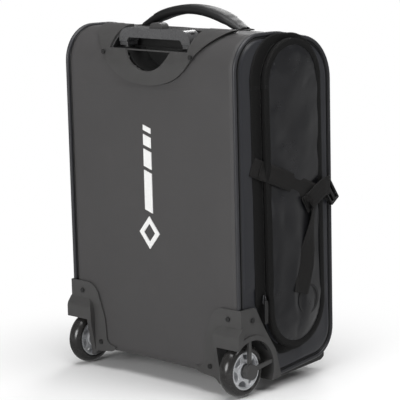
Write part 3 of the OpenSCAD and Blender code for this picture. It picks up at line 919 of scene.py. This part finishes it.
def build_flap(s):
    side = side_name(s)
    body = "flap_" + side + "_body"
    profile = [(4, 0.0), (20, 0.0), (40, 0.0), (54, 0.0), (FLAP_R - 2, 0.2), (FLAP_R - 0.4, 1.4),
               (FLAP_R - 0.3, 5.0), (FLAP_R - 1.4, 6.6), (FLAP_R - 4, 7.2), (FLAP_R - 9.5, 7.0),
               (FLAP_R - 11.5, 6.4), (FLAP_R - 14, 8.0), (44, 9.3), (38, 10.0), (26, 10.7), (12, 11.0),
               (4, 11.0)]
    loops = [laid(stadium(radius), s * (FLAP_IN + height)) for radius, height in profile]
    obj = cushion("flap_shell_" + side, loops, FLAP_TARP, body)
    puff_cloth(obj, 3.6, 2.2, 5.0, lambda p: 1.0 if abs(p[0]) < FLAP_IN + 6.2 else 0.0)
    limit_points(obj, lambda p: flap_dents(p, s))
    subdivide(obj)
    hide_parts("side_flap_" + side)
    path = laid(stadium(FLAP_R - 4.6), s * (FLAP_IN + 7.0))
    sweep("flap_binding_" + side, path, band_section(9.6, 1.3, 0.5), TAPE, body, (s, 0, 0), True)
    path = laid(stadium(FLAP_R + 0.1), s * (FLAP_IN + 4.4))
    normals = [(0, n[0], n[1]) for n in STAD_NORMAL]
    sweep("flap_edge_tape_" + side, path, band_section(7.2, 0.8), TAPE, body, normals, True)
    path = laid(stadium(FLAP_R - 8.2), s * (FLAP_IN + 8.2))
    thread_row("flap_stitches_" + side, path, body, (s, 0, 0), True)


def flap_dents(p, s):
    """Soft dents and diagonal wrinkles of a loosely filled flap, on its outer face only."""
    x = abs(p[0])
    if x < FLAP_IN + 6.8:
        return p
    y, z = p[1], p[2]
    gain = smoothstep(x, FLAP_IN + 6.8, FLAP_IN + 9.0)
    dent = wobble((y * 1.2, z * 0.8, s * 90), 44, 8) * 1.9
    dent += wobble((y + 0.5 * z, z * 0.9, s * 60), 22, 9) * 0.45
    folds = math.sin((z + 0.35 * y) / 11.0 + 1.8 * wobble((y, z, 0), 60, 3))
    dent += 0.5 * folds * smoothstep(z, 150, 220) * (1 - smoothstep(z, 330, 420))
    strap = math.exp(-((z - STRAP_Z - (y - FLAP_TOP[0]) * math.tan(STRAP_SLOPE)) / 19.0) ** 2)
    tail = math.exp(-((y - tail_place(z)) / 17.0) ** 2) if z < STRAP_Z - 20 else 0.0
    press = max(strap, tail)
    dent -= 2.0 * strap
    x = min(x + dent * gain, FLAP_OUT + 5.0 - 4.4 * press)
    return np.array([s * max(x, FLAP_IN + 6.0), y, z])


def ribbon(name, inner, outer, height, finish, body, s):
    """A flat band between two loops of (y, z), as wide as they are apart, with a low crown."""
    inner = np.asarray(inner, float)
    outer = np.asarray(outer, float)
    columns = 9
    verts = []
    uvs = []
    along = 0.0
    for i, (a, b) in enumerate(zip(inner, outer)):
        along += float(np.linalg.norm(b - outer[i - 1])) if i else 0.0
        for k in range(columns):
            t = k / (columns - 1)
            y, z = a + (b - a) * t
            lift = height(y, z) + 1.2 * (1 - (2 * t - 1) ** 4)
            verts.append((s * lift, y, z))
            uvs.append((along, float(np.linalg.norm(b - a)) * t))
    faces = grid_faces(len(inner), columns, True)
    obj = add_mesh(name, verts, faces, finish, body, uvs)
    fix_normals(obj)
    thicken(obj, 1.0, 0.0)
    return obj


def build_zip_parts(s):
    """Wide ribbed welt, zip tape and coil on the bag round the flap."""
    side = side_name(s)

    def height(y, z):
        under = smoothstep(y, 14, 24) * (1 - smoothstep(z, 130, 142))
        return HALF_W + 1.5 - 2.9 * under

    reach = 6.0 + 17.0 * smoothstep(STAD_NORMAL[:, 0], 0.0, 0.9) + 2.0 * np.clip(STAD_NORMAL[:, 1], 0, 1)
    inner = stadium(FLAP_R - 1.0)
    outer = STAD_BASE + STAD_NORMAL * (FLAP_R + reach)[:, None]
    ribbon("zip_welt_" + side, inner, outer, height, TAPE, "bag", s)
    rear = [i for i in range(len(STAD_BASE)) if STAD_NORMAL[i][0] > -0.2]
    lap = stadium(FLAP_R + 3.2)[rear]
    order = np.argsort(-lap[:, 1])
    coil = [(s * (height(*lap[i]) + 1.7), *lap[i]) for i in order if lap[i][1] > 100 and lap[i][0] > 20]
    zip_coil("zip_coil_" + side, resample(coil, 520), "bag", (s, 0, 0))


# ---- straps ---------------------------------------------------------------

def strap_line(t):
    """Point on the strap's middle line at t millimetres along it from the flap's middle, as (y, z)."""
    return FLAP_TOP[0] + t * math.cos(STRAP_SLOPE), STRAP_Z + t * math.sin(STRAP_SLOPE)


TAIL = [(-45.0, 273.0, 0.30), (-43.0, 256.0, 0.42), (-38.0, 236.0, 0.72), (-31.0, 210.0, 0.96),
        (-25.0, 188.0, 1.0), (-18.0, 162.0, 1.0), (-12.0, 141.0, 1.0)]


def tail_place(z):
    """The hanging tail's y at a height."""
    return float(np.interp(z, [p[1] for p in TAIL][::-1], [p[0] for p in TAIL][::-1]))


def build_strap(s):
    side = side_name(s)
    body = "flap_" + side + "_body"
    out = FLAP_OUT - 0.6
    run = []
    for t, x in [(-60, out - 0.4), (-54, out), (-40, out + 0.4), (-20, out + 0.6), (0, out + 0.6),
                 (20, out + 0.4), (40, out), (52, out - 1.2), (60, out - 3.8), (66, out - 6.2),
                 (71, FLAP_IN + 2.2), (77, FLAP_IN + 1.9)]:
        y, z = strap_line(t)
        run.append((s * x, y, z))
    main = sweep("strap_" + side, spline(run, 90), band_section(STRAP_W, 1.5), WEB, body, (s, 0, 0))
    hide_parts("strap_" + side)
    fold = [(-88.0, 293.0, out - 1.2, 0), (-72.0, 292.5, out + 2.4, 0), (-57.0, 287.0, out + 3.6, 0),
            (-42.0, 279.0, out + 4.2, 0), (-31.0, 273.0, out + 3.8, 10), (-27.0, 271.0, out + 2.9, 80),
            (-29.5, 272.4, out + 2.0, 160), (-38.0, 277.0, out + 1.9, 180)]
    path = spline([(s * x, y, z) for y, z, x, _ in fold], 70)
    turn = np.interp(np.linspace(0, len(fold) - 1, 70), range(len(fold)), [math.radians(f[3]) for f in fold])
    lean = math.radians(27)
    normals = [(s * math.cos(a), math.sin(a) * math.cos(lean), -math.sin(a) * math.sin(lean)) for a in turn]
    bend = sweep("strap_fold_" + side, path, band_section(STRAP_W, 1.4), WEB, None, normals)
    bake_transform(bend)
    path = spline([(s * (out + 2.9 + 0.4 * k), y, z) for k, (y, z, _) in enumerate(TAIL)], 90)
    share = np.interp(np.linspace(0, len(TAIL) - 1, 90), range(len(TAIL)), [p[2] for p in TAIL])
    turn = np.interp(np.linspace(0, 1, 90), [0, 0.35, 0.7, 1], [-0.5, -0.1, 0.35, 0.1])
    normals = [(s * math.cos(a), math.sin(a), 0) for a in turn]
    sweep("strap_tail_" + side, path, band_section(STRAP_W, 1.3), WEB, body, normals, width=share)
    anchor = []
    for t, x in [(78.2, FLAP_IN + 1.9), (82, FLAP_IN + 1.7), (88, FLAP_IN + 1.0), (92, HALF_W + 0.6)]:
        y, z = strap_line(t)
        anchor.append((s * x, y, z))
    tab = sweep("strap_anchor_tab_" + side, spline(anchor, 24), band_section(STRAP_W, 1.5), WEB, "bag",
                (s, 0, 0))
    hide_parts("strap_anchor_" + side)


def build_strap_fronts():
    pieces = []
    for s in (-1, 1):
        low = STRAP_Z - 31.0
        corner = [(s * (HALF_W + 2.4), FRONT_Y + 30, low + 17), (s * (HALF_W + 2.8), FRONT_Y + 20, low + 12),
                  (s * (HALF_W + 2.0), FRONT_Y + 8, low + 6), (s * (HALF_W - 5), FRONT_Y - 3.4, low + 2),
                  (s * (HALF_W - 18), FRONT_Y - 4.6, low), (s * (HALF_W - 33), FRONT_Y - 3.6, low)]
        out = np.array([(s, 0, 0), (s, 0, 0), (s, -0.4, 0), (s * 0.6, -1, 0), (0, -1, 0), (0, -1, 0)], float)
        pieces.append(sweep("front_web", spline(corner, 60), band_section(STRAP_W - 1, 1.5), WEB, "bag",
                            resample(out, 60)))
    obj = merge("strap_fronts_web", pieces)
    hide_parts("strap_fronts")


# ---- carry handle ---------------------------------------------------------

def build_carry_handle():
    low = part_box("carry_handle")[0].z / MM
    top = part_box("carry_handle")[1].z / MM
    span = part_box("carry_handle")[1].x / MM
    rise = top - low
    radius = (span * span + rise * rise) / (2 * rise)
    half_thick = 7.6

    def arch(x):
        return top - radius + math.sqrt(radius ** 2 - x * x)

    rings = 28
    stations = np.linspace(-span + 1, span - 1, 84)
    verts = []
    for x in stations:
        edge = span - abs(x)
        width = 13.0 + 3.0 * smoothstep(edge, 4, 40)
        thick = 6.0 + 1.6 * smoothstep(edge, 4, 40)
        slope = -x / math.sqrt(radius ** 2 - x * x)
        n = np.array([-slope, 0, 1]) / math.hypot(slope, 1)
        crease = 0.8 * math.exp(-((abs(x) - 76) / 5.0) ** 2) + 0.5 * math.exp(-((abs(x) - 88) / 4.0) ** 2)
        for k in range(rings):
            a = 2 * math.pi * k / rings
            c, d = math.cos(a), math.sin(a)
            u = math.copysign(abs(c) ** 0.62, c) * width
            v = math.copysign(abs(d) ** 0.8, d) * (thick - crease)
            v += 0.3 * wobble((x, u, v), 34, 11)
            p = np.array([x, 0, arch(x) - half_thick]) + n * v
            verts.append((p[0], p[1] + u, max(p[2], BAG_H - 3.2)))
    obj = add_mesh("carry_grip", verts, tube_faces(len(stations), rings), LEATHER, None)
    fix_normals(obj)
    subdivide(obj)
    apply_modifiers(obj)
    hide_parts("carry_handle")
    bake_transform(obj)
    for k, u in enumerate((-12.2, 12.2)):
        line = [(x, u, arch(x) - half_thick + 5.2) for x in np.linspace(-74, 74, 80)]
        thread_row("carry_stitches_" + str(k), line, "handle", (0, 0, 1), lift=0.9)
    tabs = []
    for s in (-1, 1):
        end = [(s * 84, 0, BAG_H - 1.2), (s * 96, 0, BAG_H - 0.8), (s * 109, 0, BAG_H - 2.0)]
        tabs.append(sweep("carry_tab", spline(end, 20), band_section(25, 1.6), WEB, "bag", (0, 0, 1)))
    pad = merge("carry_tabs", tabs)
    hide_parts("carry_handle_anchors")


# ---- front lid ------------------------------------------------------------

def rect_loop(half_x, z0, z1, radius, inset, y, count=220):
    pts = rounded([(-half_x + inset, z0 + inset, max(radius - inset, 2)),
                   (half_x - inset, z0 + inset, max(radius - inset, 2)),
                   (half_x - inset, z1 - inset, max(radius - inset, 2)),
                   (-half_x + inset, z1 - inset, max(radius - inset, 2))])
    pts = resample(pts, count, True)
    return [(p[0], y, p[1]) for p in pts]


def build_lid():
    back = FRONT_Y - 0.6
    half = LID_HALF
    z0 = LID_LOW
    z1 = LID_TOP
    r = LID_R
    profile = [(60, 0.0), (20, 0.0), (2, -0.2), (0.3, -1.5), (0.3, -4.6), (2, -6.0), (5, -6.4), (10, -6.2),
               (14, -6.6), (24, -8.0), (40, -9.0), (70, -9.4)]
    loops = [rect_loop(half, z0, z1, r, inset, back + y) for inset, y in profile]
    obj = cushion("lid_shell", loops, FLAP_TARP, "lid")
    puff_cloth(obj, 4.5, 2.0, 4.0, lambda p: 1.0 if p[1] > back - 5.8 else 0.0)

    def dents(p):
        if p[1] > back - 6.5:
            return p
        gain = smoothstep(-p[1] + back, 6.5, 8.5)
        soft = wobble((p[0], p[2], 5), 60, 21) * 1.1 + wobble((p[0], p[2], 5), 24, 22) * 0.4
        return np.array([p[0], max(p[1] - soft * gain, back - 15), p[2]])

    limit_points(obj, dents)
    subdivide(obj)
    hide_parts("front_lid")
    ring = rect_loop(half, z0, z1, r, 4.8, back - 6.2)
    sweep("lid_binding", ring, band_section(9.6, 1.2, 0.4), TAPE, "lid", (0, -1, 0), True)
    ring = rect_loop(half, z0, z1, r, 8.6, back - 7.3)
    thread_row("lid_stitches", ring, "lid", (0, -1, 0), True)
    ring = rect_loop(half + 8, z0 - 8, z1 + 8, r + 8, 0, FRONT_Y - 2.6)
    open_ring = [p for p in ring if p[2] > z0 + 10]
    start = next(i for i, p in enumerate(open_ring) if p[0] > 0)
    sides = open_ring[start:] + open_ring[:start]
    sweep("lid_zip_tape", sides, band_section(13, 0.9), TAPE, "bag", (0, -1, 0))
    shrink = (half + 5) / (half + 8)
    coil = [(p[0] * shrink, p[1] - 1.0, p[2] - 3 * smoothstep(p[2], z1 - 20, z1 + 8)) for p in sides]
    zip_coil("lid_zip_coil", resample(coil, 640), "bag", (0, -1, 0))
    hem = [(x, FRONT_Y - 2.2, z0 + 11) for x in np.linspace(-half + 14, half - 14, 40)]
    sweep("lid_opening_hem", hem, band_section(12, 0.9), TAPE, "bag", (0, -1, 0))
    face = back - 7.6
    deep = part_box("front_pocket")[0].y / MM - face
    profile = [(50, 0.0), (20, 0.0), (1.5, 0.0), (0.3, -1.5), (0.3, 0.62 * deep), (3.0, 0.82 * deep),
               (9, 0.92 * deep), (22, 0.97 * deep), (50, deep)]
    loops = [rect_loop(105, 108, 342, 26, inset, face + y) for inset, y in profile]
    pocket = cushion("lid_pocket_shell", loops, FLAP_TARP, "lid")
    puff_cloth(pocket, 4.5, 1.5, 3.0, lambda p: 1.0 if p[1] > face - 3.0 else 0.0)
    limit_points(pocket, lambda p: np.array([p[0], max(p[1], face + deep - 4.0), p[2]]))
    subdivide(pocket)
    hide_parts("front_pocket")
    line = [(x, face + deep - 1.0, 318.0) for x in np.linspace(-86, 86, 60)]
    sweep("pocket_zip_tape", line, band_section(16, 1.0), TAPE, "lid", (0, -1, 0))
    line = [(x, face + deep - 2.1, 318.0) for x in np.linspace(-80, 80, 60)]
    zip_coil("pocket_zip_coil", line, "lid", (0, -1, 0))


def zip_slider(name, node, at, along, out, body, pull_length, pull_name, pull_node):
    """Slider body and tape pull. along is the zip's direction and out faces away from the bag."""
    at = np.array(at, float)
    along = np.array(along, float)
    out = np.array(out, float)
    side = np.cross(along, out)
    outline = [(-7, 3.4), (-4.5, 4.2), (3.5, 3.0), (6.5, 2.4)]
    outline += [(a, -b) for a, b in reversed(outline)]
    verts = []
    for level, grow in ((0.0, 0.9), (0.7, 1.0), (2.6, 1.0), (3.2, 0.85)):
        for a, b in outline:
            verts.append(at + along * a * grow + side * b * grow + out * level)
    obj = add_mesh(name, verts, tube_faces(4, len(outline)), ZIP, body, smooth=False)
    fix_normals(obj)
    bridge = [at + along * a + out * h for a, h in ((-4, 3.0), (-2.5, 4.6), (2.5, 4.6), (4, 3.0))]
    loop = sweep(name + "_bridge", spline(bridge, 14), round_section(0.8, 8), ZIP, body, side)
    obj = merge(name, [obj, loop])
    bevel = obj.modifiers.new("bevel", "BEVEL")
    bevel.width = 0.0003
    bevel.segments = 2
    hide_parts(node)
    start = at - along * 2 + out * 4.4
    path = [start, start - along * pull_length * 0.3 + out * 0.9, start - along * pull_length]
    pull = sweep(pull_name, spline(path, 30), band_section(6.4, 1.5, 0.3), PULL, body, out)
    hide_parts(pull_node)


def build_zips():
    y = FLAP_LOW[0] + FLAP_R + 10
    for s, side in ((-1, "left"), (1, "right")):
        zip_slider("slider_" + side, "flap_slider_" + side, (s * (HALF_W + 4.3), y - 1.0, 143), (0, 0, 1),
                   (s, 0, 0), "flap_zip_" + side, 34, "slider_pull_" + side, "flap_pull_" + side)
    zip_slider("lid_slider", "lid_sliders", (15, FRONT_Y - 4.0, 444), (-1, 0, 0), (0, -1, 0), "lid_zip", 32,
               "lid_slider_pull", "lid_pulls")


# ---- printed mark ---------------------------------------------------------

def build_print():
    """A plain lozenge and two slim bars printed on the back sheet."""
    y = BACK_Y + 1.75
    verts = []
    faces = []

    def patch(outline):
        base = len(verts)
        for x, z in outline:
            verts.append((x, y, z))
        for x, z in outline:
            verts.append((x, y - 1.2, z))
        n = len(outline)
        faces.append(tuple(range(base, base + n)))
        faces.append(tuple(range(base + n, base + 2 * n))[::-1])
        for k in range(n):
            faces.append((base + k, base + n + k, base + n + (k + 1) % n, base + (k + 1) % n))

    for k, (low, high) in enumerate(((258, 318), (324, 350), (356, 372), (378, 386))):
        patch([(-4, low), (12, low + 5), (12, high + 5), (-4, high)])
    outer = [(4, 203), (25, 228), (4, 253), (-17, 228)]
    inner = [(4, 214), (15.5, 228), (4, 242), (-7.5, 228)]
    for k in range(4):
        a, b = outer[k], outer[(k + 1) % 4]
        c, d = inner[(k + 1) % 4], inner[k]
        patch([a, b, c, d])
    obj = add_mesh("printed_mark", verts, faces, INK, "bag", smooth=False)
    fix_normals(obj)


# ---- stage ----------------------------------------------------------------

def build_stage():
    scene = bpy.context.scene
    size = 30.0
    verts = [(-size, -size, 0), (size, -size, 0), (size, size, 0), (-size, size, 0)]
    mesh = bpy.data.meshes.new("floor")
    mesh.from_pydata(verts, [], [(0, 1, 2, 3)])
    floor = bpy.data.objects.new("floor", mesh)
    scene.collection.objects.link(floor)
    floor.location.z = -0.0005
    paint = Shader("floor_paint", (0.95, 0.95, 0.95), 0.8)
    paint.vary_rough(paint.noise(3, 2), 0.04)
    fade_out(paint)
    mesh.materials.append(paint.material)
    world = bpy.data.worlds.new("studio")
    world.use_nodes = True
    tree = world.node_tree
    plain = tree.nodes["Background"]
    plain.inputs[0].default_value = (1, 1, 1, 1)
    seen = tree.nodes.new("ShaderNodeLightPath")
    level = tree.nodes.new("ShaderNodeMapRange")
    level.inputs["To Min"].default_value = 0.12
    level.inputs["To Max"].default_value = 1.0
    tree.links.new(seen.outputs["Is Camera Ray"], level.inputs["Value"])
    tree.links.new(level.outputs["Result"], plain.inputs[1])
    scene.world = world
    scene.view_settings.view_transform = "Standard"
    area_light("overhead", (-0.4, 0.2, 2.6), (0, 0, 0), 2.4, 50)
    area_light("key", (-0.3, 2.9, 1.0), (0, 0, 0.3), 1.6, 47)
    area_light("side", (-2.0, -0.5, 2.2), (0, 0, 0.45), 1.0, 17)
    area_light("front", (1.2, -2.6, 1.8), (0, 0, 0.3), 1.5, 34)


def fade_out(paint):
    """The camera sees plain white away from the bag; the bag's gloss sees a dark floor with soft glowing
    patches, a painted reflection of light.
    """
    place = paint.node("ShaderNodeNewGeometry").outputs["Position"]
    reach = paint.tree.nodes.new("ShaderNodeVectorMath")
    reach.operation = "LENGTH"
    paint.link(place, reach.inputs[0])
    fade = paint.tree.nodes.new("ShaderNodeMapRange")
    fade.interpolation_type = "SMOOTHSTEP"
    fade.inputs["From Min"].default_value = 0.16
    fade.inputs["From Max"].default_value = 0.52
    paint.link(reach.outputs["Value"], fade.inputs["Value"])
    rays = paint.node("ShaderNodeLightPath").outputs
    glow = paint.tree.nodes.new("ShaderNodeEmission")
    blend = paint.tree.nodes.new("ShaderNodeMixShader")
    paint.link(paint.math("MULTIPLY", fade.outputs["Result"], rays["Is Camera Ray"]), blend.inputs[0])
    paint.link(paint.bsdf.outputs[0], blend.inputs[1])
    paint.link(glow.outputs[0], blend.inputs[2])
    # Painted reflection: glossy rays see the floor as an emission in soft noise patches, which paint soft
    # highlights on the bag.
    glossy_glow_patches = paint.tree.nodes.new("ShaderNodeEmission")
    paint.link(paint.ramp(paint.noise(1.3, 1), 0.0, 0.85), glossy_glow_patches.inputs["Strength"])
    hide = paint.tree.nodes.new("ShaderNodeMixShader")
    paint.link(rays["Is Glossy Ray"], hide.inputs[0])
    paint.link(blend.outputs[0], hide.inputs[1])
    paint.link(glossy_glow_patches.outputs[0], hide.inputs[2])
    paint.link(hide.outputs[0], paint.tree.nodes["Material Output"].inputs["Surface"])


def area_light(name, place, target, size, power):
    data = bpy.data.lights.new(name, "AREA")
    data.energy = power
    data.shape = "DISK"
    data.size = size
    lamp = bpy.data.objects.new(name, data)
    lamp.location = place
    aim = Vector(target) - Vector(place)
    lamp.rotation_mode = "QUATERNION"
    lamp.rotation_quaternion = aim.to_track_quat("-Z", "Y")
    bpy.context.scene.collection.objects.link(lamp)


def build_camera():
    data = bpy.data.cameras.new("camera")
    data.sensor_width = 36
    data.lens = 159.1
    data.shift_x = -0.1535
    camera = bpy.data.objects.new("camera", data)
    bpy.context.scene.collection.objects.link(camera)
    forward = Vector((0.6530, -0.7360, -0.1786)).normalized()
    level = Vector((forward.y, -forward.x, 0)).normalized()
    rise = level.cross(forward)
    roll = math.radians(-1.04)
    right = level * math.cos(roll) + rise * math.sin(roll)
    up = rise * math.cos(roll) - level * math.sin(roll)
    matrix = Matrix((right, up, -forward)).transposed().to_4x4()
    matrix.translation = Vector((-1.8469, 1.834 + BACK_Y * MM, 0.7465))
    camera.matrix_world = matrix
    data.clip_end = 30
    bpy.context.scene.camera = camera


finish_frame()
build_wrap()
for sign in (-1, 1):
    side_sheet(sign)
    build_piping(sign)
    build_pocket(sign)
    build_zip_parts(sign)
    build_flap(sign)
    build_strap(sign)
build_strap_fronts()
build_carry_handle()
build_lid()
build_zips()
build_print()
build_stage()
build_camera()
